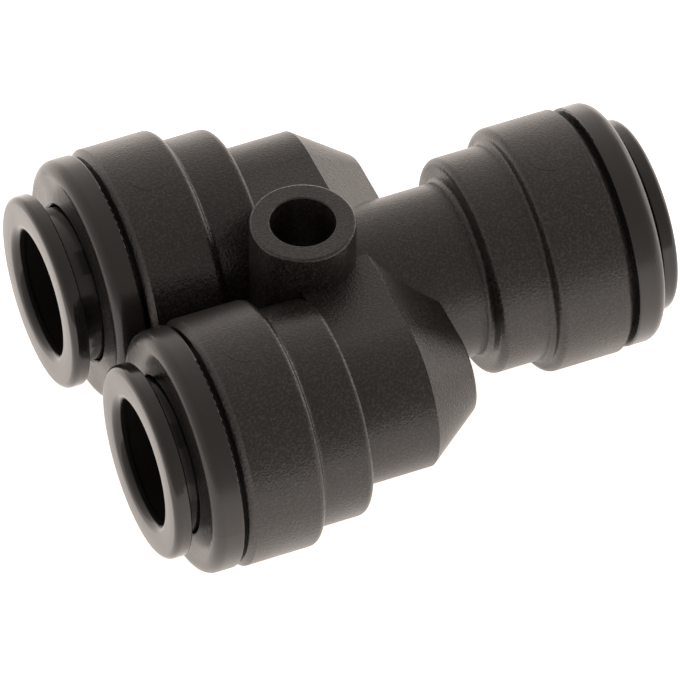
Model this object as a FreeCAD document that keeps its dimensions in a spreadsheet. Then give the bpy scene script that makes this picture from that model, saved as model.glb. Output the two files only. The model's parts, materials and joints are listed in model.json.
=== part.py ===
import FreeCAD, Part
import math
import os
from enum import IntEnum

import Sketcher

# Tubing Y connector: one inlet and two parallel outlets for 8 mm tube, push-in ports at all three.
#
# Millimetres. The origin is on the axis of the screw hole, at the underside of its boss. +X runs
# from the outlets towards the inlet, +Y to the rear outlet, +Z up along the screw hole.
# Every port is drawn in a frame of its own: its X axis is the tube's axis and points out of the
# port, and its zero, the root, lies inside the body. Radii are measured from that axis.

doc = FreeCAD.newDocument("tubing_y_connector")

# Driving sizes
SIZES = [
    ("tube_d", 8.0, "outside of the tube that the ports take"),
    ("tube_wall", 1.0, "wall of that tube, so that the passages are as wide as its inside"),
    ("tube_clearance", 0.08, "sliding fit on the tube, on the radius, in the body and in the collets"),
    ("tube_stop", 2.4, "from a port's root inwards to the shoulder that stops the tube"),
    ("passage_length", 2.6, "from that shoulder to the passage's blind end"),
    ("passage_edge", 0.75, "rounding of the blind end"),
    ("end_wall", 2.45, "from the blind end of the outlets to the end of the web"),
    ("outlet_wall", 1.42, "wall of the outlets' narrow stretch, which the web is as thick as"),
    ("inlet_wall", 1.62, "wall of the inlet's narrow stretch"),
    ("inlet_neck", 2.05, "from the end of the web to the root of the inlet"),
    ("rib_height", 3.2, "rib that goes on between the barrels where the web ends"),
    ("rib_overlap", 0.65, "how far that rib reaches into the large rings"),
    ("end_slope_length", 3.7, "slope behind the outlets, along their axes"),
    ("end_slope_height", 2.65, "slope behind the outlets, across their axes"),
    ("end_edge", 0.4, "rounding of the edge where that slope ends"),
    ("core_step", 1.3, "from a port's root to the face of its middle ring"),
    ("ring_edge", 0.5, "rounding of the two ring faces"),
    ("ring_fillet", 0.35, "fillet at the foot of those faces"),
    ("mouth_chamfer", 0.4, "slope at the mouth"),
    ("boss_d", 6.8, "pillar round the screw hole"),
    ("boss_step", 0.35, "how far the pillar stands out above and below the large rings"),
    ("boss_edge", 0.2, "rounding of the pillar's ends"),
    ("screw_hole_d", 4.2, "clearance for a 4 mm screw"),
    ("screw_hole_edge", 0.1, "rounding of the screw hole's ends"),
    ("branch_d", 3.8, "flow passage from each outlet to the inlet"),
    ("branch_outlet_step", 0.6, "from an outlet's tube shoulder to where a branch leaves its axis"),
    ("branch_inlet_step", 0.5, "from the inlet's tube shoulder to where the branches meet its axis"),
    ("seal_cord_d", 2.14, "cross-section of the O-ring"),
    ("seal_squeeze", 0.06, "how much smaller the O-ring is than the tube, on the radius"),
    ("seal_clearance", 0.02, "left round the O-ring"),
    ("seal_shoulder", 1.3, "from the middle ring's face to the inner face of the O-ring's seat"),
    ("seal_room", 0.54, "from the O-ring to the end cap's skirt"),
    ("seal_wall", 1.05, "wall of the middle ring, round the O-ring"),
    ("grip_wall", 1.2, "wall of the large ring, round the end cap's skirt"),
    ("grip_overlap", 0.35, "from the large ring's face to the end of the skirt"),
    ("skirt_wall", 0.75, "wall of the end cap's skirt"),
    ("skirt_clearance", 0.05, "left round the skirt, on the radius"),
    ("bead_height", 0.25, "snap bead round the skirt"),
    ("bead_ramp", 0.8, "long side of the bead, which leads in"),
    ("bead_back", 0.3, "short side of the bead, which locks"),
    ("bead_step", 2.1, "from the end of the skirt to the bead"),
    ("cap_gap", 0.35, "dark line between the mouth and the end cap"),
    ("cap_length", 2.0, "length of the end cap that shows"),
    ("cap_step", 0.15, "how much smaller the end cap is than the large ring, on the radius"),
    ("cap_spacing", 0.2, "left between the end caps of the two outlets"),
    ("cap_front_edge", 0.8, "rounding of the end cap's front"),
    ("cap_back_edge", 0.15, "rounding of its back"),
    ("throat_length", 2.45, "hole in the end cap that guides the collet"),
    ("throat_edge", 0.12, "slope at the front of that hole"),
    ("cam_length", 1.6, "slope inside that hole, which wedges the fingers"),
    ("cam_clearance", 0.25, "between the fingers and that slope, along the axis, fully out"),
    ("release_travel", 1.45, "from a pressed collet to one that is fully out"),
    ("nose_clearance", 0.284, "from a pressed collet to the O-ring"),
    ("front_collet_gap", 0.9, "between end cap and collet as the photograph shows them"),
    ("rear_collet_gap", 1.38, "the same at the rear outlet"),
    ("inlet_collet_gap", 0.35, "the same at the inlet"),
    ("collar_length", 1.13, "thickness of the collar that is pressed to let the tube go"),
    ("collar_height", 1.3, "how far that collar stands out from the collet's barrel"),
    ("collar_front_edge", 0.3, "rounding of its front edge"),
    ("collar_back_edge", 0.12, "rounding of its back edge"),
    ("lip_edge", 0.25, "rounding of the collet's mouth"),
    ("lip_length", 0.75, "from the collet's front to the relief of its bore"),
    ("relief", 0.12, "depth of that relief"),
    ("barrel_wall", 0.85, "wall of the collet's barrel"),
    ("barrel_clearance", 0.15, "between the collet's barrel and the hole of the end cap"),
    ("finger_count", 6, "sprung fingers of a collet, with one tooth in each"),
    ("slot_width", 0.9, "gap between two fingers"),
    ("slot_start", 2.0, "from the back of the collar to the slots"),
    ("slot_rounding", 0.9, "rounding of a slot's end, as a share of half its width"),
    ("head_height", 0.8, "how far the fingers' heads stand out from the barrel"),
    ("head_clearance", 0.25, "between the heads and the skirt, on the radius"),
    ("head_length", 1.3, "straight stretch of the heads"),
    ("nose_length", 0.8, "slope at the inner end of the heads"),
    ("nose_height", 0.55, "height of that slope"),
    ("tooth_cover", 0.52, "from the outside of a head to the outer edge of the teeth"),
    ("tooth_bite", 0.12, "how much smaller the ring of teeth is than the tube, on the radius"),
    ("tooth_thickness", 0.3, "sheet of the teeth, along the axis"),
    ("tooth_rake", 0.75, "from the teeth's outer edge to their inner edge, along the axis"),
    ("tooth_step", 0.35, "from the start of a head to the teeth's outer edge"),
    ("tooth_clearance", 0.03, "left round the teeth in their groove"),
    ("tooth_gap", 24, "between two teeth, in degrees round the axis"),
]

# How far a cut runs past the surface that it opens, and how near two numbers count as the same
CUT_MARGIN = 1
TOLERANCE = 0.001

# Places that follow from the driving sizes
PLACES = [
    # Radii of the body's bores
    ("tube_r", "sizes.tube_d / 2"),
    ("tube_bore_r", "tube_r + sizes.tube_clearance"),
    ("passage_r", "tube_r - sizes.tube_wall"),
    ("branch_r", "sizes.branch_d / 2"),
    ("seal_cord_r", "sizes.seal_cord_d / 2"),
    ("seal_ring_r", "tube_r - sizes.seal_squeeze + seal_cord_r"),
    ("seat_r", "seal_ring_r + seal_cord_r + sizes.seal_clearance"),
    # Radii of the collets
    ("relief_r", "tube_bore_r + sizes.relief"),
    ("barrel_r", "relief_r + sizes.barrel_wall"),
    ("head_r", "barrel_r + sizes.head_height"),
    ("nose_r", "head_r - sizes.nose_height"),
    ("collar_r", "barrel_r + sizes.collar_height"),
    ("tooth_root_r", "head_r - sizes.tooth_cover"),
    ("tooth_tip_r", "tube_r - sizes.tooth_bite"),
    ("groove_root_r", "tooth_root_r + sizes.tooth_clearance"),
    # Radii of the end caps
    ("throat_r", "barrel_r + sizes.barrel_clearance"),
    ("throat_mouth_r", "throat_r + sizes.throat_edge"),
    ("skirt_inner_r", "head_r + sizes.head_clearance"),
    ("skirt_r", "skirt_inner_r + sizes.skirt_wall"),
    ("bead_r", "skirt_r + sizes.bead_height"),
    # Radii of the body's outside
    ("skirt_bore_r", "skirt_r + sizes.skirt_clearance"),
    ("bead_groove_r", "bead_r + sizes.skirt_clearance"),
    ("large_ring_r", "skirt_bore_r + sizes.grip_wall"),
    ("mouth_r", "large_ring_r - sizes.mouth_chamfer"),
    ("cap_r", "large_ring_r - sizes.cap_step"),
    ("middle_ring_r", "seat_r + sizes.seal_wall"),
    ("outlet_core_r", "tube_bore_r + sizes.outlet_wall"),
    ("inlet_core_r", "tube_bore_r + sizes.inlet_wall"),
    # Along a collet, from the back of its collar
    ("relief_start", "sizes.collar_length - sizes.lip_length"),
    ("relief_slope", "relief_start - sizes.relief"),
    ("slot_root", "-sizes.slot_start"),
    ("cam_grade", "sizes.cam_length / (skirt_inner_r - throat_r)"),
    ("cam_at_head", "sizes.throat_length + (head_r - throat_r) * cam_grade"),
    ("head_start", "-(cam_at_head + sizes.cam_clearance + sizes.release_travel)"),
    ("head_slope", "head_start + (head_r - barrel_r) * cam_grade"),
    ("head_end", "head_start - sizes.head_length"),
    ("nose_end", "head_end - sizes.nose_length"),
    ("slot_mouth", f"nose_end - {CUT_MARGIN}"),
    ("tooth_front", "head_start - sizes.tooth_step"),
    ("tooth_back", "tooth_front - sizes.tooth_thickness"),
    ("tooth_tip", "tooth_back - sizes.tooth_rake"),
    ("tooth_tip_front", "tooth_tip + sizes.tooth_thickness / 2"),
    ("groove_front", "tooth_front + sizes.tooth_clearance"),
    ("groove_back", "tooth_back - sizes.tooth_clearance"),
    ("groove_tip_front", "tooth_tip_front + sizes.tooth_clearance"),
    ("groove_tip", "tooth_tip - sizes.tooth_clearance * 2"),
    # Across a slot and between two teeth
    ("slot_side", "sizes.slot_width / 2"),
    ("slot_far_side", "-slot_side"),
    ("slot_corner", "slot_side * sizes.slot_rounding"),
    ("tooth_angle", "360 / sizes.finger_count - sizes.tooth_gap"),
    ("half_pitch", "180 / sizes.finger_count"),
    # Along a port, from its root
    ("stop", "-sizes.tube_stop"),
    ("passage_back", "stop - sizes.passage_length"),
    ("middle_ring_face", "sizes.core_step"),
    ("seat_face", "middle_ring_face + sizes.seal_shoulder"),
    ("seal_place", "seat_face + sizes.seal_clearance + seal_cord_r"),
    ("seal_end", "seal_place + seal_cord_r"),
    ("skirt_seat", "seal_end + sizes.seal_room"),
    ("bead_start", "skirt_seat + sizes.bead_step"),
    ("bead_top", "bead_start + sizes.bead_ramp"),
    ("bead_end", "bead_top + sizes.bead_back"),
    ("bead_groove_start", "bead_start - sizes.skirt_clearance"),
    ("bead_groove_end", "bead_end + sizes.skirt_clearance"),
    ("large_ring_face", "skirt_seat - sizes.grip_overlap"),
    ("cap_front", "seal_end + sizes.nose_clearance - nose_end"),
    ("throat_slope", "cap_front - sizes.throat_edge"),
    ("cam_start", "cap_front - sizes.throat_length"),
    ("cam_end", "cam_start - sizes.cam_length"),
    ("cap_back", "cap_front - sizes.cap_length"),
    ("mouth", "cap_back - sizes.cap_gap"),
    ("mouth_slope", "mouth - sizes.mouth_chamfer"),
    ("beyond_mouth", f"mouth + {CUT_MARGIN}"),
    ("front_collet_place", "cap_front + sizes.front_collet_gap"),
    ("rear_collet_place", "cap_front + sizes.rear_collet_gap"),
    ("inlet_collet_place", "cap_front + sizes.inlet_collet_gap"),
    # In the body, from the screw hole's axis
    ("axis_height", "large_ring_r + sizes.boss_step"),
    ("outlet_y", "cap_r + sizes.cap_spacing / 2"),
    ("web_end", "sizes.tube_stop + sizes.passage_length + sizes.end_wall"),
    ("web_back", "-middle_ring_face"),
    ("web_length", "web_end - web_back"),
    ("rib_back", "-(large_ring_face + sizes.rib_overlap)"),
    ("rib_top", "sizes.rib_height / 2"),
    ("rib_bottom", "-rib_top"),
    ("rib_rear", "outlet_y"),
    ("rib_front", "-outlet_y"),
    ("inlet_x", "web_end + sizes.inlet_neck"),
    ("core_back", "-inlet_x"),
    ("branch_outlet_x", "sizes.tube_stop + sizes.branch_outlet_step"),
    ("branch_inlet_x", "inlet_x - sizes.tube_stop - sizes.branch_inlet_step"),
    ("branch_run", "branch_inlet_x - branch_outlet_x"),
    ("branch_length", "sqrt(branch_run ^ 2 + outlet_y ^ 2)"),
    ("branch_turn", "atan2(outlet_y; branch_run) / 1 deg"),
]


def make_sheet(name, rows):
    """A spreadsheet with one named cell for each row, and the row's note beside it."""
    sheet = doc.addObject("Spreadsheet::Sheet", name)
    for number, (alias, content, note) in enumerate(rows, start=1):
        sheet.set(f"A{number}", note)
        sheet.set(f"B{number}", str(content))
        sheet.setAlias(f"B{number}", alias)
    return sheet


sizes = make_sheet("sizes", SIZES)
places = make_sheet("places", [(alias, "=" + formula, alias) for alias, formula in PLACES])
doc.recompute()


def cell(alias):
    """Where a formula finds a name, in one sheet or the other."""
    sheet = "places" if alias in dict(PLACES) else "sizes"
    return f"{sheet}.{alias}"


def place(alias):
    """The number behind the name of a size or a place. No name stands for zero."""
    if not alias:
        return 0.0
    sheet = places if alias in dict(PLACES) else sizes
    return float(getattr(sheet, alias))


# Sketches

AXIS = ""


class Datum(IntEnum):
    """The axes of a sketch, as it numbers them. Its origin is where the H axis starts."""

    H_AXIS = -1
    V_AXIS = -2


class Point(IntEnum):
    """The points of a line or an arc, as a sketch numbers them."""

    START = 1
    END = 2
    CENTRE = 3


def new_sketch(body, name, plane="XY_Plane"):
    """An empty sketch on one of the body's own planes."""
    sketch = body.newObject("Sketcher::SketchObject", name)
    origin_plane = [item for item in body.Origin.OriginFeatures if item.Role == plane][0]
    sketch.AttachmentSupport = [(origin_plane, "")]
    sketch.MapMode = "FlatFace"
    return sketch


def bind(sketch, kind, where, alias):
    """A constraint that reads its value from a sheet."""
    index = sketch.addConstraint(Sketcher.Constraint(kind, *where, place(alias)))
    sketch.setExpression(f"Constraints[{index}]", cell(alias))


def pin(sketch, item, end, across, up):
    """Hold one point of the sketch at two named places."""
    if across:
        bind(sketch, "DistanceX", (item, end), across)
    else:
        sketch.addConstraint(Sketcher.Constraint("PointOnObject", item, end, Datum.V_AXIS))
    if up:
        bind(sketch, "DistanceY", (item, end), up)
    else:
        sketch.addConstraint(Sketcher.Constraint("PointOnObject", item, end, Datum.H_AXIS))


def tangent_points(before, corner, after, radius):
    """Where an arc in a corner meets its two lines, and the arc's centre."""
    back = (before - corner).normalize()
    ahead = (after - corner).normalize()
    half = back.getAngle(ahead) / 2
    reach = radius / math.tan(half)
    centre = corner + (back + ahead).normalize() * (radius / math.sin(half))
    return corner + back * reach, corner + ahead * reach, centre


def outline(body, name, corners, plane="XY_Plane"):
    """A closed outline. Each corner is (place along, place across), with a radius if it is round."""
    sketch = new_sketch(body, name, plane)
    points = [FreeCAD.Vector(place(corner[0]), place(corner[1]), 0) for corner in corners]
    count = len(corners)
    leave = []
    arrive = []
    arcs = {}
    for number, corner in enumerate(corners):
        point = points[number]
        if len(corner) == 2:
            arrive.append(point)
            leave.append(point)
            continue
        radius = place(corner[2])
        after = points[(number + 1) % count]
        first, last, centre = tangent_points(points[number - 1], point, after, radius)
        arrive.append(first)
        leave.append(last)
        arcs[number] = (centre, radius)
    lines = []
    for number in range(count):
        segment = Part.LineSegment(leave[number], arrive[(number + 1) % count])
        lines.append(sketch.addGeometry(segment))
    for number, corner in enumerate(corners):
        before = lines[number - 1]
        after = lines[number]
        if number not in arcs:
            sketch.addConstraint(Sketcher.Constraint("Coincident", before, Point.END, after, Point.START))
            pin(sketch, after, Point.START, corner[0], corner[1])
            continue
        centre, radius = arcs[number]
        first = arrive[number] - centre
        last = leave[number] - centre
        anticlockwise = first.cross(last).z > 0
        turn_from = first if anticlockwise else last
        turn_to = last if anticlockwise else first
        circle = Part.Circle(centre, FreeCAD.Vector(0, 0, 1), radius)
        start_angle = math.atan2(turn_from.y, turn_from.x)
        end_angle = math.atan2(turn_to.y, turn_to.x)
        arc = sketch.addGeometry(Part.ArcOfCircle(circle, start_angle, end_angle))
        arc_first = Point.START if anticlockwise else Point.END
        arc_last = Point.END if anticlockwise else Point.START
        sketch.addConstraint(Sketcher.Constraint("Tangent", before, Point.END, arc, arc_first))
        sketch.addConstraint(Sketcher.Constraint("Tangent", after, Point.START, arc, arc_last))
        bind(sketch, "Radius", (arc,), corner[2])
        point = sketch.addGeometry(Part.Point(points[number]), True)
        pin(sketch, point, Point.START, corner[0], corner[1])
        sketch.addConstraint(Sketcher.Constraint("PointOnObject", point, Point.START, before))
        sketch.addConstraint(Sketcher.Constraint("PointOnObject", point, Point.START, after))
    return sketch


def circle_sketch(body, name, diameter):
    """A circle round the origin of the body's ground plane."""
    sketch = new_sketch(body, name)
    circle = Part.Circle(FreeCAD.Vector(), FreeCAD.Vector(0, 0, 1), place(diameter) / 2)
    item = sketch.addGeometry(circle)
    origin = (Datum.H_AXIS, Point.START)
    sketch.addConstraint(Sketcher.Constraint("Coincident", item, Point.CENTRE, *origin))
    bind(sketch, "Diameter", (item,), diameter)
    return sketch


def stadium_sketch(body, name):
    """Two half circles round the outlets' axes, joined by straight lines, across the X axis."""
    sketch = new_sketch(body, name, "YZ_Plane")
    reach = place("outlet_y")
    radius = place("outlet_core_r")
    normal = FreeCAD.Vector(0, 0, 1)
    right = Part.Circle(FreeCAD.Vector(reach, 0, 0), normal, radius)
    left = Part.Circle(FreeCAD.Vector(-reach, 0, 0), normal, radius)
    right_arc = sketch.addGeometry(Part.ArcOfCircle(right, -math.pi / 2, math.pi / 2))
    left_arc = sketch.addGeometry(Part.ArcOfCircle(left, math.pi / 2, math.pi * 3 / 2))
    top_start = FreeCAD.Vector(reach, radius, 0)
    top_end = FreeCAD.Vector(-reach, radius, 0)
    top = sketch.addGeometry(Part.LineSegment(top_start, top_end))
    bottom = sketch.addGeometry(Part.LineSegment(-top_start, -top_end))
    sketch.addConstraint(Sketcher.Constraint("Tangent", right_arc, Point.END, top, Point.START))
    sketch.addConstraint(Sketcher.Constraint("Tangent", top, Point.END, left_arc, Point.START))
    sketch.addConstraint(Sketcher.Constraint("Tangent", left_arc, Point.END, bottom, Point.START))
    sketch.addConstraint(Sketcher.Constraint("Tangent", bottom, Point.END, right_arc, Point.START))
    sketch.addConstraint(Sketcher.Constraint("PointOnObject", right_arc, Point.CENTRE, Datum.H_AXIS))
    sketch.addConstraint(Sketcher.Constraint("Equal", right_arc, left_arc))
    mirrored = (right_arc, Point.CENTRE, left_arc, Point.CENTRE, Datum.V_AXIS)
    sketch.addConstraint(Sketcher.Constraint("Symmetric", *mirrored))
    bind(sketch, "DistanceX", (right_arc, Point.CENTRE), "outlet_y")
    bind(sketch, "Radius", (right_arc,), "outlet_core_r")
    return sketch


# Features

def turned(body, name, sketch, kind="PartDesign::Revolution"):
    """Turn a sketch all the way round its own X axis, adding or cutting."""
    feature = body.newObject(kind, name)
    feature.Profile = sketch
    feature.ReferenceAxis = (sketch, ["H_Axis"])
    feature.Angle = 360
    return feature


def circles(shape, radius, along, position):
    """Names of the round edges of one radius at one position along an axis, such as "z"."""
    names = []
    for number, edge in enumerate(shape.Edges, start=1):
        if not isinstance(edge.Curve, Part.Circle):
            continue
        same_radius = abs(edge.Curve.Radius - radius) < TOLERANCE
        same_place = abs(getattr(edge.Curve.Center, along) - position) < TOLERANCE
        if same_radius and same_place:
            names.append(f"Edge{number}")
    return names


def end_face(shape, x):
    """Name of the flat face that closes the shape at one X."""
    for number, face in enumerate(shape.Faces, start=1):
        box = face.BoundBox
        if abs(box.XMin - x) < TOLERANCE and abs(box.XMax - x) < TOLERANCE:
            return f"Face{number}"
    raise RuntimeError(f"no flat face at x {x:.2f}")


def repeated(body, name, original):
    """Repeat a feature round the body's X axis, once for each finger."""
    pattern = body.newObject("PartDesign::PolarPattern", name)
    pattern.Originals = [original]
    x_axis = [item for item in body.Origin.OriginFeatures if item.Role == "X_Axis"][0]
    pattern.Axis = (x_axis, [""])
    pattern.Angle = 360
    pattern.setExpression("Occurrences", "sizes.finger_count")
    body.Tip = pattern


def new_body(label):
    """An empty body whose label becomes the name of its file."""
    body = doc.addObject("PartDesign::Body", label)
    body.Label = label
    return body


# The three ports: where the root of each lies, which way it faces and where its collet rests
PORTS = {
    "inlet": ("places.inlet_x", "0", False, "inlet_collet_place"),
    "outlet_front": ("0", "-places.outlet_y", True, "front_collet_place"),
    "outlet_rear": ("0", "places.outlet_y", True, "rear_collet_place"),
}
HALF_TURN = FreeCAD.Rotation(FreeCAD.Vector(0, 0, 1), 180)


def put_in_port(piece, port, shift="0"):
    """Place a piece drawn in a port's frame, moved out along the port's axis by a formula."""
    root_x, root_y, faces_back, _ = PORTS[port]
    sign = "-" if faces_back else "+"
    if faces_back:
        piece.Placement = FreeCAD.Placement(FreeCAD.Vector(), HALF_TURN)
    piece.setExpression("Placement.Base.x", f"({root_x} {sign} {shift}) * 1 mm")
    piece.setExpression("Placement.Base.y", f"{root_y} * 1 mm")
    piece.setExpression("Placement.Base.z", "places.axis_height * 1 mm")


def port_sketch(body, name, port, corners):
    """An outline in a port's frame, for the body that holds all three ports."""
    root_x, root_y, faces_back, _ = PORTS[port]
    sketch = outline(body, name, corners)
    if faces_back:
        sketch.AttachmentOffset = FreeCAD.Placement(FreeCAD.Vector(), HALF_TURN)
    sketch.setExpression("AttachmentOffset.Base.x", f"{root_x} * 1 mm")
    sketch.setExpression("AttachmentOffset.Base.y", f"{root_y} * 1 mm")
    return sketch


# Moulded body

y_body = new_body("y_body")
y_body.setExpression("Placement.Base.z", "places.axis_height * 1 mm")

# The web joins the outlets from their middle rings on, and slopes off behind them
web_sketch = stadium_sketch(y_body, "web_sketch")
web_sketch.setExpression("AttachmentOffset.Base.z", "places.web_back * 1 mm")
web = y_body.newObject("PartDesign::Pad", "web")
web.Profile = web_sketch
web.setExpression("Length", "places.web_length * 1 mm")
doc.recompute()
web_slope = y_body.newObject("PartDesign::Chamfer", "web_slope")
web_slope.Base = (web, [end_face(web.Shape, place("web_end"))])
web_slope.ChamferType = "Two distances"
web_slope.setExpression("Size", "sizes.end_slope_length * 1 mm")
web_slope.setExpression("Size2", "sizes.end_slope_height * 1 mm")
doc.recompute()
web_edge = y_body.newObject("PartDesign::Fillet", "web_edge")
web_edge.Base = (web_slope, [end_face(web_slope.Shape, place("web_end"))])
web_edge.setExpression("Radius", "sizes.end_edge * 1 mm")

# In the cleft between the rings, a low rib goes on to the large rings
RIB = [
    ("rib_front", "rib_bottom"),
    ("rib_rear", "rib_bottom"),
    ("rib_rear", "rib_top"),
    ("rib_front", "rib_top"),
]
rib_sketch = outline(y_body, "rib_sketch", RIB, "YZ_Plane")
rib_sketch.setExpression("AttachmentOffset.Base.z", "places.rib_back * 1 mm")
rib = y_body.newObject("PartDesign::Pad", "rib")
rib.Profile = rib_sketch
rib.setExpression("Length", "(places.web_back - places.rib_back) * 1 mm")

# Each port's barrel: a core, a middle ring, a large ring and the sloped mouth
RINGS = [
    ("middle_ring_face", "middle_ring_r", "ring_edge"),
    ("large_ring_face", "middle_ring_r", "ring_fillet"),
    ("large_ring_face", "large_ring_r", "ring_edge"),
    ("mouth_slope", "large_ring_r"),
    ("mouth", "mouth_r"),
    ("mouth", AXIS),
]
OUTLET_CORE = [
    (AXIS, AXIS),
    (AXIS, "outlet_core_r"),
    ("middle_ring_face", "outlet_core_r", "ring_fillet"),
]
INLET_CORE = [
    ("core_back", AXIS),
    ("core_back", "inlet_core_r"),
    ("middle_ring_face", "inlet_core_r", "ring_fillet"),
]
for port in PORTS:
    core = INLET_CORE if port == "inlet" else OUTLET_CORE
    barrel_sketch = port_sketch(y_body, f"barrel_sketch_{port}", port, core + RINGS)
    turned(y_body, f"barrel_{port}", barrel_sketch)

# Pillar for the screw
boss_sketch = circle_sketch(y_body, "boss_sketch", "boss_d")
boss = y_body.newObject("PartDesign::Pad", "boss")
boss.Profile = boss_sketch
boss.SideType = "Symmetric"
boss.setExpression("Length", "places.axis_height * 2 mm")
doc.recompute()
boss_ends = []
for side in (-1, 1):
    boss_ends += circles(boss.Shape, place("boss_d") / 2, "z", side * place("axis_height"))
boss_edge = y_body.newObject("PartDesign::Fillet", "boss_edge")
boss_edge.Base = (boss, boss_ends)
boss_edge.setExpression("Radius", "sizes.boss_edge * 1 mm")

# Stepped bore of each port, from the mouth to the blind end of the passage
BORE = [
    ("passage_back", AXIS),
    ("passage_back", "passage_r", "passage_edge"),
    ("stop", "passage_r"),
    ("stop", "tube_bore_r"),
    ("seat_face", "tube_bore_r"),
    ("seat_face", "seat_r"),
    ("skirt_seat", "seat_r"),
    ("skirt_seat", "skirt_bore_r"),
    ("bead_groove_start", "skirt_bore_r"),
    ("bead_top", "bead_groove_r"),
    ("bead_groove_end", "skirt_bore_r"),
    ("beyond_mouth", "skirt_bore_r"),
    ("beyond_mouth", AXIS),
]
for port in PORTS:
    bore_sketch = port_sketch(y_body, f"bore_sketch_{port}", port, BORE)
    turned(y_body, f"bore_{port}", bore_sketch, "PartDesign::Groove")

# Two slanted branches lead the flow from the outlets to the inlet
BRANCH = [(AXIS, AXIS), (AXIS, "branch_r"), ("branch_length", "branch_r"), ("branch_length", AXIS)]
for side, sign in (("front", "-"), ("rear", "")):
    branch_sketch = outline(y_body, f"branch_sketch_{side}", BRANCH)
    turn_axis = FreeCAD.Vector(0, 0, 1 if side == "front" else -1)
    branch_turn = FreeCAD.Rotation(turn_axis, place("branch_turn"))
    branch_sketch.AttachmentOffset = FreeCAD.Placement(FreeCAD.Vector(), branch_turn)
    branch_sketch.setExpression("AttachmentOffset.Rotation.Angle", "places.branch_turn * 1 deg")
    branch_sketch.setExpression("AttachmentOffset.Base.x", "places.branch_outlet_x * 1 mm")
    branch_sketch.setExpression("AttachmentOffset.Base.y", f"{sign}places.outlet_y * 1 mm")
    turned(y_body, f"branch_{side}", branch_sketch, "PartDesign::Groove")

# Screw hole
hole_sketch = circle_sketch(y_body, "screw_hole_sketch", "screw_hole_d")
screw_hole = y_body.newObject("PartDesign::Pocket", "screw_hole")
screw_hole.Profile = hole_sketch
screw_hole.SideType = "Symmetric"
screw_hole.setExpression("Length", f"(places.axis_height + {CUT_MARGIN}) * 2 mm")
doc.recompute()
hole_ends = []
for side in (-1, 1):
    hole_ends += circles(screw_hole.Shape, place("screw_hole_d") / 2, "z", side * place("axis_height"))
hole_edge = y_body.newObject("PartDesign::Fillet", "hole_edge")
hole_edge.Base = (screw_hole, hole_ends)
hole_edge.setExpression("Radius", "sizes.screw_hole_edge * 1 mm")
y_body.Tip = hole_edge
doc.recompute()

nodes = [y_body]

# End caps: a collar that shows, a skirt that snaps into the body and a cam for the fingers
CAP = [
    ("skirt_seat", "skirt_inner_r"),
    ("cam_end", "skirt_inner_r"),
    ("cam_start", "throat_r"),
    ("throat_slope", "throat_r"),
    ("cap_front", "throat_mouth_r"),
    ("cap_front", "cap_r", "cap_front_edge"),
    ("cap_back", "cap_r", "cap_back_edge"),
    ("cap_back", "skirt_r"),
    ("bead_end", "skirt_r"),
    ("bead_top", "bead_r"),
    ("bead_start", "skirt_r"),
    ("skirt_seat", "skirt_r"),
]


def end_cap(port):
    """The ring that closes a port and wedges the collet's fingers shut."""
    body = new_body(f"end_cap_{port}")
    turned(body, f"cap_turned_{port}", outline(body, f"cap_sketch_{port}", CAP))
    put_in_port(body, port)
    return body


# Collets: zero is the back of the collar, and the fingers reach inwards from there
COLLAR_BACK = ""
COLLET = [
    ("nose_end", "relief_r"),
    ("relief_slope", "relief_r"),
    ("relief_start", "tube_bore_r"),
    ("collar_length", "tube_bore_r", "lip_edge"),
    ("collar_length", "collar_r", "collar_front_edge"),
    (COLLAR_BACK, "collar_r", "collar_back_edge"),
    (COLLAR_BACK, "barrel_r"),
    ("head_slope", "barrel_r"),
    ("head_start", "head_r"),
    ("head_end", "head_r"),
    ("nose_end", "nose_r"),
]
TEETH_GROOVE = [
    ("groove_front", "groove_root_r"),
    ("groove_back", "groove_root_r"),
    ("groove_tip", "tooth_tip_r"),
    ("groove_tip_front", "tooth_tip_r"),
]
SLOT = [
    ("slot_mouth", "slot_far_side"),
    ("slot_root", "slot_far_side", "slot_corner"),
    ("slot_root", "slot_side", "slot_corner"),
    ("slot_mouth", "slot_side"),
]
TOOTH = [
    ("tooth_front", "tooth_root_r"),
    ("tooth_back", "tooth_root_r"),
    ("tooth_tip", "tooth_tip_r"),
    ("tooth_tip_front", "tooth_tip_r"),
]


def collet(port):
    """Collar and barrel with sprung fingers, and a groove in their heads for the teeth."""
    body = new_body(f"collet_{port}")
    turned(body, f"collet_turned_{port}", outline(body, f"collet_sketch_{port}", COLLET))
    groove_sketch = outline(body, f"groove_sketch_{port}", TEETH_GROOVE)
    turned(body, f"teeth_groove_{port}", groove_sketch, "PartDesign::Groove")
    slot = body.newObject("PartDesign::Pocket", f"slot_{port}")
    slot.Profile = outline(body, f"slot_sketch_{port}", SLOT, "XZ_Plane")
    slot.setExpression("Length", "places.collar_r * 1 mm")
    repeated(body, f"slots_{port}", slot)
    put_in_port(body, port, f"places.{PORTS[port][3]}")
    return body


def grip_teeth(port):
    """Slanted stainless teeth, one in each finger's head, as separate solids."""
    body = new_body(f"grip_teeth_{port}")
    sketch = outline(body, f"tooth_sketch_{port}", TOOTH)
    between_slots = FreeCAD.Rotation(FreeCAD.Vector(1, 0, 0), place("half_pitch"))
    sketch.AttachmentOffset = FreeCAD.Placement(FreeCAD.Vector(), between_slots)
    sketch.setExpression("AttachmentOffset.Rotation.Angle", "places.half_pitch * 1 deg")
    tooth = turned(body, f"tooth_{port}", sketch)
    tooth.Midplane = True
    tooth.setExpression("Angle", "places.tooth_angle * 1 deg")
    repeated(body, f"teeth_{port}", tooth)
    put_in_port(body, port, f"places.{PORTS[port][3]}")
    return body


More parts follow.
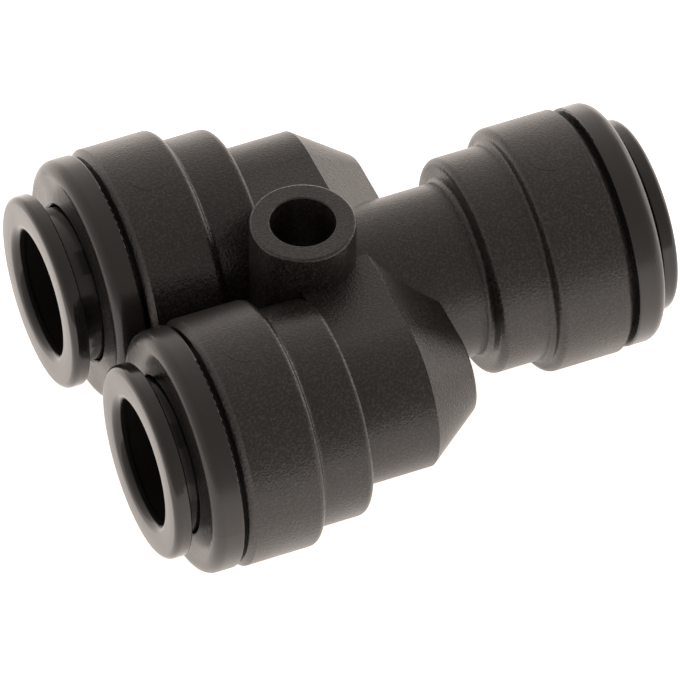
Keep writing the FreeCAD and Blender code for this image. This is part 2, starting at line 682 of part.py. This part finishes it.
def o_ring(port):
    """Rubber ring that seals on the tube."""
    ring = doc.addObject("Part::Torus", f"o_ring_{port}")
    ring.Label = f"o_ring_{port}"
    ring.setExpression("Radius1", "places.seal_ring_r * 1 mm")
    ring.setExpression("Radius2", "places.seal_cord_r * 1 mm")
    root_x, root_y, faces_back, _ = PORTS[port]
    sign = "-" if faces_back else "+"
    across = FreeCAD.Rotation(FreeCAD.Vector(0, 1, 0), 90)
    ring.Placement = FreeCAD.Placement(FreeCAD.Vector(), across)
    ring.setExpression("Placement.Base.x", f"({root_x} {sign} places.seal_place) * 1 mm")
    ring.setExpression("Placement.Base.y", f"{root_y} * 1 mm")
    ring.setExpression("Placement.Base.z", "places.axis_height * 1 mm")
    return ring


for port in PORTS:
    nodes.append(end_cap(port))
    nodes.append(collet(port))
    nodes.append(grip_teeth(port))
    nodes.append(o_ring(port))
doc.recompute()

# Checks before anything is written
faults = []
for item in doc.Objects:
    if "Invalid" in item.State or "Error" in item.State:
        faults.append(f"{item.Label} is {item.State}")
for node in nodes:
    if node.Shape.isNull() or not node.Shape.isValid():
        faults.append(f"{node.Label} has no valid shape")
if faults:
    raise RuntimeError("; ".join(faults))

os.makedirs("parts", exist_ok=True)
for node in nodes:
    node.Shape.exportStep(f"parts/{node.Label}.step")
    box = node.Shape.optimalBoundingBox(False, False)
    print(f"{node.Label}: {len(node.Shape.Solids)} solid, {node.Shape.Volume:.2f} mm3,",
          f"x {box.XMin:.2f} to {box.XMax:.2f}, y {box.YMin:.2f} to {box.YMax:.2f},",
          f"z {box.ZMin:.2f} to {box.ZMax:.2f}")
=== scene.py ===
"""Tubing Y connector: rounded collets, pin marks, finishes and a small stage."""

import json
import math

import bmesh
import bpy
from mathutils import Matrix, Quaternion, Vector


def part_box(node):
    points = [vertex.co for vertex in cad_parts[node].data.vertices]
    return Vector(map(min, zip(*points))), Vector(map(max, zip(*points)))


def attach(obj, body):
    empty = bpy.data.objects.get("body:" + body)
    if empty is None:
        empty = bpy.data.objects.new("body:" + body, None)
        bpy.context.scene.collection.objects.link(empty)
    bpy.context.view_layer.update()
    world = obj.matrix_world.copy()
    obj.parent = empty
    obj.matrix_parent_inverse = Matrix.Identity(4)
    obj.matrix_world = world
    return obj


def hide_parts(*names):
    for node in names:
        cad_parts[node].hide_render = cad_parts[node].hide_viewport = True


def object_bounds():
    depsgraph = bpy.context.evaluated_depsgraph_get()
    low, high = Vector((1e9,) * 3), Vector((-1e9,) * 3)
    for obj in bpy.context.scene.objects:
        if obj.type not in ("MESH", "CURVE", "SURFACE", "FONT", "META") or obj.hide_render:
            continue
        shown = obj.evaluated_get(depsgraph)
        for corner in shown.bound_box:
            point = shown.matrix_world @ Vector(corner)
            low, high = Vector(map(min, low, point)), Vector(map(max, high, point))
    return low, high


bl_info = {
    "name": "Tubing Y connector",
    "version": (1, 0, 0),
    "blender": (4, 5, 0),
    "location": "3D View > Sidebar > Connector",
    "description": "Finishes and stage for a push-in tubing Y connector",
    "category": "Object",
}

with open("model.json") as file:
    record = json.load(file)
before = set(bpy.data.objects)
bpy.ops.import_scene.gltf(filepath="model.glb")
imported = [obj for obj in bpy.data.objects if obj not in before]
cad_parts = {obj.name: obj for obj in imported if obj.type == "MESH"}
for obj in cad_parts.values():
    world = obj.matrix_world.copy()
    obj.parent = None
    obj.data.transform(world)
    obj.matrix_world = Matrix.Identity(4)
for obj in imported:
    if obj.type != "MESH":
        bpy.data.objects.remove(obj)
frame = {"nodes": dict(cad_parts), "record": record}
CAD_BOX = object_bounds()

MM = 0.001
MOUNTS = {mount["name"]: mount for mount in frame["record"]["mounts"]}
PORTS = ("inlet", "outlet_front", "outlet_rear")
HOUSING = "housing"

# How finely round shapes are drawn, and from which angle on an edge is sharp
MARK_STEPS = 48
COLLAR_STEPS = 96
ROUNDING_STEPS = 8
FLOOR_SIDES = 64
SHARP_FROM = math.radians(32)
# Rings of vertices on a pin mark's top, as shares of its radius, so that it can bend over the ring
MARK_RINGS = (0.8, 0.6, 0.4, 0.2, 0)

# Vertices this close are one: in a shape made here, and in the CAD mesh's loose triangles
SAME_PLACE = 0.001 * MM
SAME_CORNER = 0.0001 * MM
# How far the corners of a faceted circle may lie off its radius
CIRCLE_SLACK = 0.02 * MM
# Width of the band that joins a collet's barrel to its turned collar
JOINING_BAND = 0.02 * MM

# Real sizes of the finishes' patterns
CLOUD_WIDTH = 5 * MM
FLOW_WIDTH = 2.5 * MM
SCUFF_WIDTH = 0.1 * MM
SCUFF_DEPTH = 0.004 * MM
ROLLING_WIDTH = 0.08 * MM
ROLLING_DEPTH = 0.003 * MM
FILM_WIDTH = 1.2 * MM
# Grains of grit to the width, and to the depth, of one pit
GRIT_PER_PIT = 3

# Acetal's roughness where it is glossiest, and how much duller its clouds are
CAP_ROUGHNESS = 0.22
COLLET_ROUGHNESS = 0.12
CLOUD_DULLING = 0.1

FLOOR_RADIUS = 1.5
FLOOR_DROP = 0.02 * MM
# In millimetres, as a camera's sensor and lens are
SENSOR_WIDTH = 36


def from_hex(code):
    """An sRGB hex colour as linear red, green and blue."""
    channels = [int(code[start:start + 2], 16) / 255 for start in (1, 3, 5)]
    return [c / 12.92 if c <= 0.04045 else ((c + 0.055) / 1.055) ** 2.4 for c in channels]


def axis_point(port):
    """A point on the axis of a port's tube."""
    return Vector(MOUNTS[f"tube_port_{port}"]["pos_m"])


def axis_way(port):
    """The way in which a tube leaves its port."""
    return Vector(MOUNTS[f"tube_port_{port}"]["axis"])


# Settings

class BodyFinish(bpy.types.PropertyGroup):
    """Sizes and colours of the moulded body."""

    colour: bpy.props.FloatVectorProperty(
        name="Body colour", description="Black glass-filled nylon",
        subtype="COLOR", size=3, min=0, max=1, default=from_hex("#131110"),
    )
    colour_fleck: bpy.props.FloatVectorProperty(
        name="Fleck colour", description="Where glass lies near the skin",
        subtype="COLOR", size=3, min=0, max=1, default=from_hex("#322e2b"),
    )
    grain: bpy.props.FloatProperty(
        name="Grain",
        description="Width of a pit left by spark erosion of the mould, and of a fleck",
        unit="LENGTH", precision=5, default=0.15 * MM,
    )
    grain_depth: bpy.props.FloatProperty(
        name="Grain depth", description="Depth of those pits",
        unit="LENGTH", precision=6, default=0.02 * MM,
    )
    mark_diameter: bpy.props.FloatProperty(
        name="Pin mark diameter", description="Round mark of an ejector pin on the large rings",
        unit="LENGTH", precision=5, default=2.9 * MM,
    )
    mark_height: bpy.props.FloatProperty(
        name="Pin mark height", description="How far that mark stands proud",
        unit="LENGTH", precision=5, default=0.022 * MM,
    )
    mark_step: bpy.props.FloatProperty(
        name="Pin mark place",
        description="From the mouth of a port back to the middle of its mark",
        unit="LENGTH", precision=5, default=2.8 * MM,
    )


class InsertFinish(bpy.types.PropertyGroup):
    """Roundings and colours of what is pressed into the body."""

    collar_depth: bpy.props.FloatProperty(
        name="Collar depth",
        description="From a collet's face back to where its turned collar starts",
        unit="LENGTH", precision=5, default=0.62 * MM,
    )
    collar_edge: bpy.props.FloatProperty(
        name="Collar rounding", description="Rounding of the edge round that face",
        unit="LENGTH", precision=5, default=0.42 * MM,
    )
    mouth_edge: bpy.props.FloatProperty(
        name="Mouth rounding", description="Rounding that leads a tube into the collet",
        unit="LENGTH", precision=5, default=0.55 * MM,
    )
    cap_colour: bpy.props.FloatVectorProperty(
        name="End cap colour", description="Black acetal",
        subtype="COLOR", size=3, min=0, max=1, default=from_hex("#1e1c1b"),
    )
    collet_colour: bpy.props.FloatVectorProperty(
        name="Collet colour", description="Black acetal",
        subtype="COLOR", size=3, min=0, max=1, default=from_hex("#191817"),
    )
    teeth_colour: bpy.props.FloatVectorProperty(
        name="Teeth colour", description="Stainless spring sheet",
        subtype="COLOR", size=3, min=0, max=1, default=from_hex("#c4c1bb"),
    )
    seal_colour: bpy.props.FloatVectorProperty(
        name="O-ring colour", description="Black nitrile rubber",
        subtype="COLOR", size=3, min=0, max=1, default=from_hex("#161616"),
    )


class StageFinish(bpy.types.PropertyGroup):
    """Floor, light and camera."""

    floor_colour: bpy.props.FloatVectorProperty(
        name="Floor colour", description="White acrylic light table",
        subtype="COLOR", size=3, min=0, max=1, default=from_hex("#f4f4f4"),
    )
    floor_glow: bpy.props.FloatProperty(
        name="Floor glow", description="Light that the table gives by itself", default=1.1, min=0,
    )
    light_colour: bpy.props.FloatVectorProperty(
        name="Light colour", description="Slightly warm studio light",
        subtype="COLOR", size=3, min=0, max=1, default=from_hex("#fff4ec"),
    )
    tent_bright: bpy.props.FloatProperty(
        name="Bright side", description="Strength of the white tent low behind the part",
        default=1.35, min=0,
    )
    tent_dim: bpy.props.FloatProperty(
        name="Dim side", description="Strength of the white tent above the camera",
        default=0.5, min=0,
    )
    dim_side: bpy.props.FloatVectorProperty(
        name="Way to the dim side", description="From the part to the tent's darkest place",
        subtype="DIRECTION", size=3, default=(0, -0.6, 0.8),
    )
    box_place: bpy.props.FloatVectorProperty(
        name="Soft box place", description="Middle of the soft box on the right",
        unit="LENGTH", subtype="XYZ", size=3, default=(0.35, 0.05, 0.06),
    )
    box_size: bpy.props.FloatVectorProperty(
        name="Soft box size", description="Width and height of its cloth",
        unit="LENGTH", size=2, default=(0.25, 0.25),
    )
    box_power: bpy.props.FloatProperty(
        name="Soft box power", description="Light that it gives",
        unit="POWER", default=0.3, min=0,
    )
    strip_place: bpy.props.FloatVectorProperty(
        name="Strip place",
        description="Middle of the low strip light behind the part on the right",
        unit="LENGTH", subtype="XYZ", size=3, default=(0.32, 0.224, 0.096),
    )
    strip_size: bpy.props.FloatVectorProperty(
        name="Strip size", description="Width and height of its cloth",
        unit="LENGTH", size=2, default=(0.22, 0.07),
    )
    strip_power: bpy.props.FloatProperty(
        name="Strip power", description="Light that it gives",
        unit="POWER", default=0.09, min=0,
    )
    azimuth: bpy.props.FloatProperty(
        name="Azimuth", description="Camera's direction round the part",
        subtype="ANGLE", default=math.radians(-22.84),
    )
    elevation: bpy.props.FloatProperty(
        name="Elevation", description="Camera's height above the horizon",
        subtype="ANGLE", default=math.radians(46.72),
    )
    roll: bpy.props.FloatProperty(
        name="Roll", description="Camera's turn about its own axis",
        subtype="ANGLE", default=math.radians(0.37),
    )
    distance: bpy.props.FloatProperty(
        name="Distance", description="From the camera to the point that it looks at",
        unit="LENGTH", default=727.5 * MM,
    )
    focal_length: bpy.props.FloatProperty(
        name="Focal length", description="On a sensor 36 mm wide, in millimetres", default=607.1,
    )
    look_at: bpy.props.FloatVectorProperty(
        name="Look at", description="Point in the middle of the picture",
        unit="LENGTH", subtype="XYZ", size=3, default=(1.33 * MM, -3.0 * MM, 8.45 * MM),
    )


# Shared steps

def new_material(name):
    """A node material, still empty."""
    material = bpy.data.materials.new(name)
    material.use_nodes = True
    material.node_tree.nodes.clear()
    return material


def add(owner, kind, inputs=None, **settings):
    """Add one node to a material or world, with settings, and with inputs as values or outputs."""
    node = owner.node_tree.nodes.new(kind)
    for name, value in settings.items():
        setattr(node, name, value)
    for socket, value in (inputs or {}).items():
        if isinstance(value, bpy.types.NodeSocket):
            owner.node_tree.links.new(value, node.inputs[socket])
        else:
            node.inputs[socket].default_value = value
    return node


def opaque(colour):
    """A colour with its alpha."""
    return (*colour, 1.0)


def dress(node, material):
    """Give a carried-over CAD piece a finish."""
    for slot in frame["nodes"][node].material_slots:
        slot.material = material


def piece_from(bm, name, material, body):
    """A finished piece that rides on a body, at the origin, from a mesh under construction."""
    mesh = bpy.data.meshes.new(name)
    for face in bm.faces:
        face.smooth = True
        face.material_index = 0
    bm.to_mesh(mesh)
    bm.free()
    # Normals that came with a copied mesh no longer fit it
    if "custom_normal" in mesh.attributes:
        mesh.attributes.remove(mesh.attributes["custom_normal"])
    mesh.set_sharp_from_angle(angle=SHARP_FROM)
    piece = bpy.data.objects.new(name, mesh)
    bpy.context.scene.collection.objects.link(piece)
    mesh.materials.append(material)
    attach(piece, body)
    return piece


# Finishes

def spark_eroded_nylon(finish):
    """Glass-filled nylon, spark-eroded mould: matt and pitted, so light breaks into fine specks."""
    material = new_material("spark_eroded_nylon")
    where = add(material, "ShaderNodeTexCoord").outputs["Object"]
    pits = add(material, "ShaderNodeTexVoronoi", {
        "Vector": where, "Scale": 1 / finish.grain, "Randomness": 1.0, "Smoothness": 0.6,
    }, feature="SMOOTH_F1")
    # Grit finer than the pits
    grit = add(material, "ShaderNodeTexNoise", {
        "Vector": where, "Scale": GRIT_PER_PIT / finish.grain, "Detail": 2.0, "Roughness": 0.6,
    })
    # Flecks as wide as the pits, where glass lies just under the resin's skin
    flecks = add(material, "ShaderNodeTexNoise", {
        "Vector": where, "Scale": 1 / finish.grain, "Detail": 1.0, "Roughness": 0.5,
    })
    # Clouds a few millimetres wide, where that skin is thinner
    clouds = add(material, "ShaderNodeTexNoise", {
        "Vector": where, "Scale": 1 / CLOUD_WIDTH, "Detail": 3.0, "Roughness": 0.55,
    })
    amount = add(material, "ShaderNodeMapRange", {
        "Value": flecks.outputs["Fac"],
        "From Min": 0.45, "From Max": 0.7, "To Min": 0.0, "To Max": 1.0,
    })
    colour = add(material, "ShaderNodeMix", {
        "Factor": amount.outputs["Result"],
        "A": opaque(finish.colour), "B": opaque(finish.colour_fleck),
    }, data_type="RGBA")
    gloss = add(material, "ShaderNodeMapRange", {
        "Value": clouds.outputs["Fac"],
        "From Min": 0.3, "From Max": 0.7, "To Min": 0.26, "To Max": 0.36,
    })
    coarse = add(material, "ShaderNodeBump", {
        "Height": pits.outputs["Distance"], "Strength": 0.9, "Distance": finish.grain_depth,
    })
    fine = add(material, "ShaderNodeBump", {
        "Height": grit.outputs["Fac"], "Strength": 0.8,
        "Distance": finish.grain_depth / GRIT_PER_PIT, "Normal": coarse.outputs["Normal"],
    })
    shader = add(material, "ShaderNodeBsdfPrincipled", {
        "Base Color": colour.outputs["Result"], "Roughness": gloss.outputs["Result"],
        "Normal": fine.outputs["Normal"], "IOR": 1.5,
    })
    add(material, "ShaderNodeOutputMaterial", {"Surface": shader.outputs["BSDF"]})
    return material


def satin_acetal(name, colour, roughness):
    """Acetal from a polished mould: smooth and a little waxy, with faint flow clouds and scuffs."""
    material = new_material(name)
    where = add(material, "ShaderNodeTexCoord").outputs["Object"]
    clouds = add(material, "ShaderNodeTexNoise", {
        "Vector": where, "Scale": 1 / FLOW_WIDTH, "Detail": 4.0, "Roughness": 0.6,
    })
    # Hairline scuffs, drawn a tenth of a millimetre wide so that they show
    scuffs = add(material, "ShaderNodeTexNoise", {
        "Vector": where, "Scale": 1 / SCUFF_WIDTH, "Detail": 2.0, "Roughness": 0.7,
    })
    gloss = add(material, "ShaderNodeMapRange", {
        "Value": clouds.outputs["Fac"], "From Min": 0.3, "From Max": 0.7,
        "To Min": roughness, "To Max": roughness + CLOUD_DULLING,
    })
    bump = add(material, "ShaderNodeBump", {
        "Height": scuffs.outputs["Fac"], "Strength": 0.3, "Distance": SCUFF_DEPTH,
    })
    shader = add(material, "ShaderNodeBsdfPrincipled", {
        "Base Color": opaque(colour), "Roughness": gloss.outputs["Result"],
        "Normal": bump.outputs["Normal"], "IOR": 1.5,
    })
    add(material, "ShaderNodeOutputMaterial", {"Surface": shader.outputs["BSDF"]})
    return material


def stainless_sheet(colour):
    """Rolled stainless spring sheet: bright, its gloss broken up as finely as rolling leaves it."""
    material = new_material("stainless_sheet")
    where = add(material, "ShaderNodeTexCoord").outputs["Object"]
    rolling = add(material, "ShaderNodeTexNoise", {
        "Vector": where, "Scale": 1 / ROLLING_WIDTH, "Detail": 3.0, "Roughness": 0.6,
    })
    gloss = add(material, "ShaderNodeMapRange", {
        "Value": rolling.outputs["Fac"],
        "From Min": 0.3, "From Max": 0.7, "To Min": 0.2, "To Max": 0.36,
    })
    bump = add(material, "ShaderNodeBump", {
        "Height": rolling.outputs["Fac"], "Strength": 0.2, "Distance": ROLLING_DEPTH,
    })
    shader = add(material, "ShaderNodeBsdfPrincipled", {
        "Base Color": opaque(colour), "Metallic": 1.0, "Roughness": gloss.outputs["Result"],
        "Normal": bump.outputs["Normal"],
    })
    add(material, "ShaderNodeOutputMaterial", {"Surface": shader.outputs["BSDF"]})
    return material


def nitrile_rubber(colour):
    """Nitrile rubber with a film of grease: dull black, patchily wet."""
    material = new_material("nitrile_rubber")
    where = add(material, "ShaderNodeTexCoord").outputs["Object"]
    film = add(material, "ShaderNodeTexNoise", {
        "Vector": where, "Scale": 1 / FILM_WIDTH, "Detail": 2.0, "Roughness": 0.5,
    })
    gloss = add(material, "ShaderNodeMapRange", {
        "Value": film.outputs["Fac"],
        "From Min": 0.35, "From Max": 0.65, "To Min": 0.35, "To Max": 0.65,
    })
    shader = add(material, "ShaderNodeBsdfPrincipled", {
        "Base Color": opaque(colour), "Roughness": gloss.outputs["Result"], "IOR": 1.52,
    })
    add(material, "ShaderNodeOutputMaterial", {"Surface": shader.outputs["BSDF"]})
    return material


# Pieces

def pin_mark(port, finish, material):
    """A round, slightly proud mark that an ejector pin leaves on the top of a large ring."""
    axis = axis_point(port)
    way = axis_way(port)
    lowest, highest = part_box("y_body")
    mouth = highest[0] if way.x > 0 else lowest[0]
    ring_radius = highest[1] - abs(axis_point("outlet_rear").y)
    radius = finish.mark_diameter / 2
    bm = bmesh.new()
    # Half a section of the mark, along its sunk foot and over the sloped rim to the middle
    rim = finish.mark_height / 2
    section = [(0, -rim), (radius, -rim), (radius, rim), (radius - rim, finish.mark_height)]
    section += [(radius * share, finish.mark_height) for share in MARK_RINGS]
    verts = [bm.verts.new((across, 0, up)) for across, up in section]
    edges = [bm.edges.new(pair) for pair in zip(verts, verts[1:])]
    bmesh.ops.spin(
        bm, geom=verts + edges, cent=(0, 0, 0), axis=(0, 0, 1), angle=math.tau,
        steps=MARK_STEPS, use_merge=True,
    )
    bmesh.ops.remove_doubles(bm, verts=bm.verts, dist=SAME_PLACE)
    bmesh.ops.recalc_face_normals(bm, faces=bm.faces)
    # Bent over the ring, then moved to its place
    for vertex in bm.verts:
        vertex.co.z += math.sqrt(ring_radius ** 2 - vertex.co.y ** 2)
    place = Vector((mouth - way.x * finish.mark_step, axis.y, axis.z))
    bmesh.ops.translate(bm, verts=bm.verts, vec=place)
    piece_from(bm, f"pin_mark_{port}", material, HOUSING)


def circle_of_edges(bm, port, along, radius):
    """The edges of the circle that lies at a place along a port's axis, at a radius from it."""
    axis = axis_point(port)

    def on_circle(vertex):
        off_radius = abs((vertex.co - axis).yz.length - radius)
        return abs(vertex.co.x - along) < SAME_PLACE and off_radius < CIRCLE_SLACK

    return [edge for edge in bm.edges if all(on_circle(vertex) for vertex in edge.verts)]


def rounded_collet(port, finish, material):
    """The collet with its barrel and fingers as built, and a turned collar with full roundings."""
    node = f"collet_{port}"
    axis = axis_point(port)
    way = axis_way(port)
    lowest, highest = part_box(node)
    face = highest[0] if way.x > 0 else lowest[0]
    collar_radius = (highest[1] - lowest[1]) / 2
    mouth_radius = MOUNTS[f"tube_port_{port}"]["dims"]["r_mm"] * MM
    cut = face - way.x * finish.collar_depth
    bm = bmesh.new()
    bm.from_mesh(frame["nodes"][node].data)
    bmesh.ops.remove_doubles(bm, verts=bm.verts, dist=SAME_CORNER)
    bmesh.ops.bisect_plane(
        bm, geom=[*bm.verts, *bm.edges, *bm.faces], plane_co=(cut, 0, 0), plane_no=way,
        clear_outer=True,
    )
    # The collar's section, open at its back, turned about the port's axis
    collar_start = cut + way.x * JOINING_BAND
    corners = [
        (collar_start, collar_radius), (face, collar_radius),
        (face, mouth_radius), (collar_start, mouth_radius),
    ]
    verts = [bm.verts.new((along, axis.y, axis.z + out)) for along, out in corners]
    edges = [bm.edges.new(pair) for pair in zip(verts, verts[1:])]
    bmesh.ops.spin(
        bm, geom=verts + edges, cent=axis, axis=(1, 0, 0), angle=math.tau,
        steps=COLLAR_STEPS, use_merge=True,
    )
    for radius in (collar_radius, mouth_radius):
        barrel_end = circle_of_edges(bm, port, cut, radius)
        collar_end = circle_of_edges(bm, port, collar_start, radius)
        bmesh.ops.bridge_loops(bm, edges=barrel_end + collar_end)
    bmesh.ops.recalc_face_normals(bm, faces=bm.faces)
    roundings = ((collar_radius, finish.collar_edge), (mouth_radius, finish.mouth_edge))
    for radius, rounding in roundings:
        bmesh.ops.bevel(
            bm, geom=circle_of_edges(bm, port, face, radius), offset=rounding,
            segments=ROUNDING_STEPS, profile=0.5, affect="EDGES", material=-1,
        )
    piece = piece_from(bm, f"rounded_collet_{port}", material, node)
    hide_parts(node)


# The stage

def light_table(stage):
    """A white acrylic table, lit from below, so that the part's shadow stays faint."""
    material = new_material("light_table")
    shader = add(material, "ShaderNodeBsdfPrincipled", {
        "Base Color": opaque(stage.floor_colour), "Roughness": 0.6,
        "Emission Color": opaque(stage.light_colour), "Emission Strength": stage.floor_glow,
    })
    add(material, "ShaderNodeOutputMaterial", {"Surface": shader.outputs["BSDF"]})
    bm = bmesh.new()
    bmesh.ops.create_circle(bm, cap_ends=True, segments=FLOOR_SIDES, radius=FLOOR_RADIUS)
    # A hair below the pillar's foot, so that the two faces don't coincide
    bmesh.ops.translate(bm, verts=bm.verts, vec=(0, 0, CAD_BOX[0][2] - FLOOR_DROP))
    mesh = bpy.data.meshes.new("floor")
    bm.to_mesh(mesh)
    bm.free()
    mesh.materials.append(material)
    floor = bpy.data.objects.new("floor", mesh)
    bpy.context.scene.collection.objects.link(floor)


def white_tent(stage):
    """A white surround, bright low behind the part and dim above the camera."""
    world = bpy.data.worlds.new("white_tent")
    world.use_nodes = True
    world.node_tree.nodes.clear()
    way = add(world, "ShaderNodeTexCoord").outputs["Generated"]
    towards = add(
        world, "ShaderNodeVectorMath", {0: way, 1: stage.dim_side}, operation="DOT_PRODUCT",
    )
    # 1 is straight at the dim side, and -0.6 is where the tent is brightest
    strength = add(world, "ShaderNodeMapRange", {
        "Value": towards.outputs["Value"], "From Min": -0.6, "From Max": 1.0,
        "To Min": stage.tent_bright, "To Max": stage.tent_dim,
    })
    tent = add(world, "ShaderNodeBackground", {
        "Color": opaque(stage.light_colour), "Strength": strength.outputs["Result"],
    })
    add(world, "ShaderNodeOutputWorld", {"Surface": tent.outputs["Background"]})
    bpy.context.scene.world = world


def soft_box(name, place, size, power, stage):
    """A soft box aimed at the part, which the camera doesn't see."""
    data = bpy.data.lights.new(name, "AREA")
    data.shape = "RECTANGLE"
    data.size, data.size_y = size
    data.energy = power
    data.color = stage.light_colour
    light = bpy.data.objects.new(name, data)
    light.location = place
    light.rotation_mode = "QUATERNION"
    light.rotation_quaternion = (Vector(stage.look_at) - Vector(place)).to_track_quat("-Z", "Y")
    light.visible_camera = False
    bpy.context.scene.collection.objects.link(light)


def camera_at(stage):
    """The camera, aimed by angles round the point that it looks at."""
    level = math.cos(stage.elevation)
    back = Vector((
        math.sin(stage.azimuth) * level,
        -math.cos(stage.azimuth) * level,
        math.sin(stage.elevation),
    ))
    data = bpy.data.cameras.new("camera")
    data.sensor_width = SENSOR_WIDTH
    data.lens = stage.focal_length
    camera = bpy.data.objects.new("camera", data)
    camera.location = Vector(stage.look_at) + back * stage.distance
    camera.rotation_mode = "QUATERNION"
    aim = (-back).to_track_quat("-Z", "Y")
    camera.rotation_quaternion = aim @ Quaternion((0, 0, 1), stage.roll)
    bpy.context.scene.collection.objects.link(camera)
    bpy.context.scene.camera = camera


# The add-on's operators and panel

class CONNECTOR_OT_body(bpy.types.Operator):
    """Finish the moulded body, with its pin marks"""

    bl_idname = "connector.body"
    bl_label = "Moulded body"

    def execute(self, context):
        finish = context.scene.connector_body
        material = spark_eroded_nylon(finish)
        dress("y_body", material)
        for port in PORTS:
            pin_mark(port, finish, material)
        return {"FINISHED"}


class CONNECTOR_OT_caps(bpy.types.Operator):
    """Finish the three end caps"""

    bl_idname = "connector.caps"
    bl_label = "End caps"

    def execute(self, context):
        colour = context.scene.connector_inserts.cap_colour
        material = satin_acetal("cap_acetal", colour, CAP_ROUGHNESS)
        for port in PORTS:
            dress(f"end_cap_{port}", material)
        return {"FINISHED"}


class CONNECTOR_OT_collets(bpy.types.Operator):
    """Round and finish the three collets"""

    bl_idname = "connector.collets"
    bl_label = "Collets"

    def execute(self, context):
        finish = context.scene.connector_inserts
        material = satin_acetal("collet_acetal", finish.collet_colour, COLLET_ROUGHNESS)
        for port in PORTS:
            rounded_collet(port, finish, material)
        return {"FINISHED"}


class CONNECTOR_OT_teeth(bpy.types.Operator):
    """Finish the grip teeth"""

    bl_idname = "connector.teeth"
    bl_label = "Grip teeth"

    def execute(self, context):
        material = stainless_sheet(context.scene.connector_inserts.teeth_colour)
        for port in PORTS:
            dress(f"grip_teeth_{port}", material)
        return {"FINISHED"}


class CONNECTOR_OT_seals(bpy.types.Operator):
    """Finish the O-rings"""

    bl_idname = "connector.seals"
    bl_label = "O-rings"

    def execute(self, context):
        material = nitrile_rubber(context.scene.connector_inserts.seal_colour)
        for port in PORTS:
            dress(f"o_ring_{port}", material)
        return {"FINISHED"}


class CONNECTOR_OT_stage(bpy.types.Operator):
    """Set up the floor, the light and the camera"""

    bl_idname = "connector.stage"
    bl_label = "Stage"

    def execute(self, context):
        stage = context.scene.connector_stage
        light_table(stage)
        white_tent(stage)
        # The box gives the slopes their sheen, the strip the bright lines along the rings' edges
        soft_box("box_right", stage.box_place, stage.box_size, stage.box_power, stage)
        soft_box("strip_behind", stage.strip_place, stage.strip_size, stage.strip_power, stage)
        camera_at(stage)
        context.scene.view_settings.view_transform = "Standard"
        context.scene.view_settings.look = "None"
        return {"FINISHED"}


STEPS = (
    CONNECTOR_OT_body,
    CONNECTOR_OT_caps,
    CONNECTOR_OT_collets,
    CONNECTOR_OT_teeth,
    CONNECTOR_OT_seals,
    CONNECTOR_OT_stage,
)


class CONNECTOR_PT_panel(bpy.types.Panel):
    """The connector's steps and its settings"""

    bl_idname = "CONNECTOR_PT_panel"
    bl_label = "Tubing Y connector"
    bl_space_type = "VIEW_3D"
    bl_region_type = "UI"
    bl_category = "Connector"

    def draw(self, context):
        scene = context.scene
        for step in STEPS:
            self.layout.operator(step.bl_idname)
        for settings in (scene.connector_body, scene.connector_inserts, scene.connector_stage):
            box = self.layout.box()
            for name in settings.__annotations__:
                box.prop(settings, name)


CLASSES = (BodyFinish, InsertFinish, StageFinish, *STEPS, CONNECTOR_PT_panel)


def register():
    for item in CLASSES:
        bpy.utils.register_class(item)
    bpy.types.Scene.connector_body = bpy.props.PointerProperty(type=BodyFinish)
    bpy.types.Scene.connector_inserts = bpy.props.PointerProperty(type=InsertFinish)
    bpy.types.Scene.connector_stage = bpy.props.PointerProperty(type=StageFinish)


def unregister():
    del bpy.types.Scene.connector_stage
    del bpy.types.Scene.connector_inserts
    del bpy.types.Scene.connector_body
    for item in reversed(CLASSES):
        bpy.utils.unregister_class(item)


def main():
    """Run every step in order."""
    register()
    bpy.ops.connector.body()
    bpy.ops.connector.caps()
    bpy.ops.connector.collets()
    bpy.ops.connector.teeth()
    bpy.ops.connector.seals()
    bpy.ops.connector.stage()


if __name__ == "__main__":
    main()
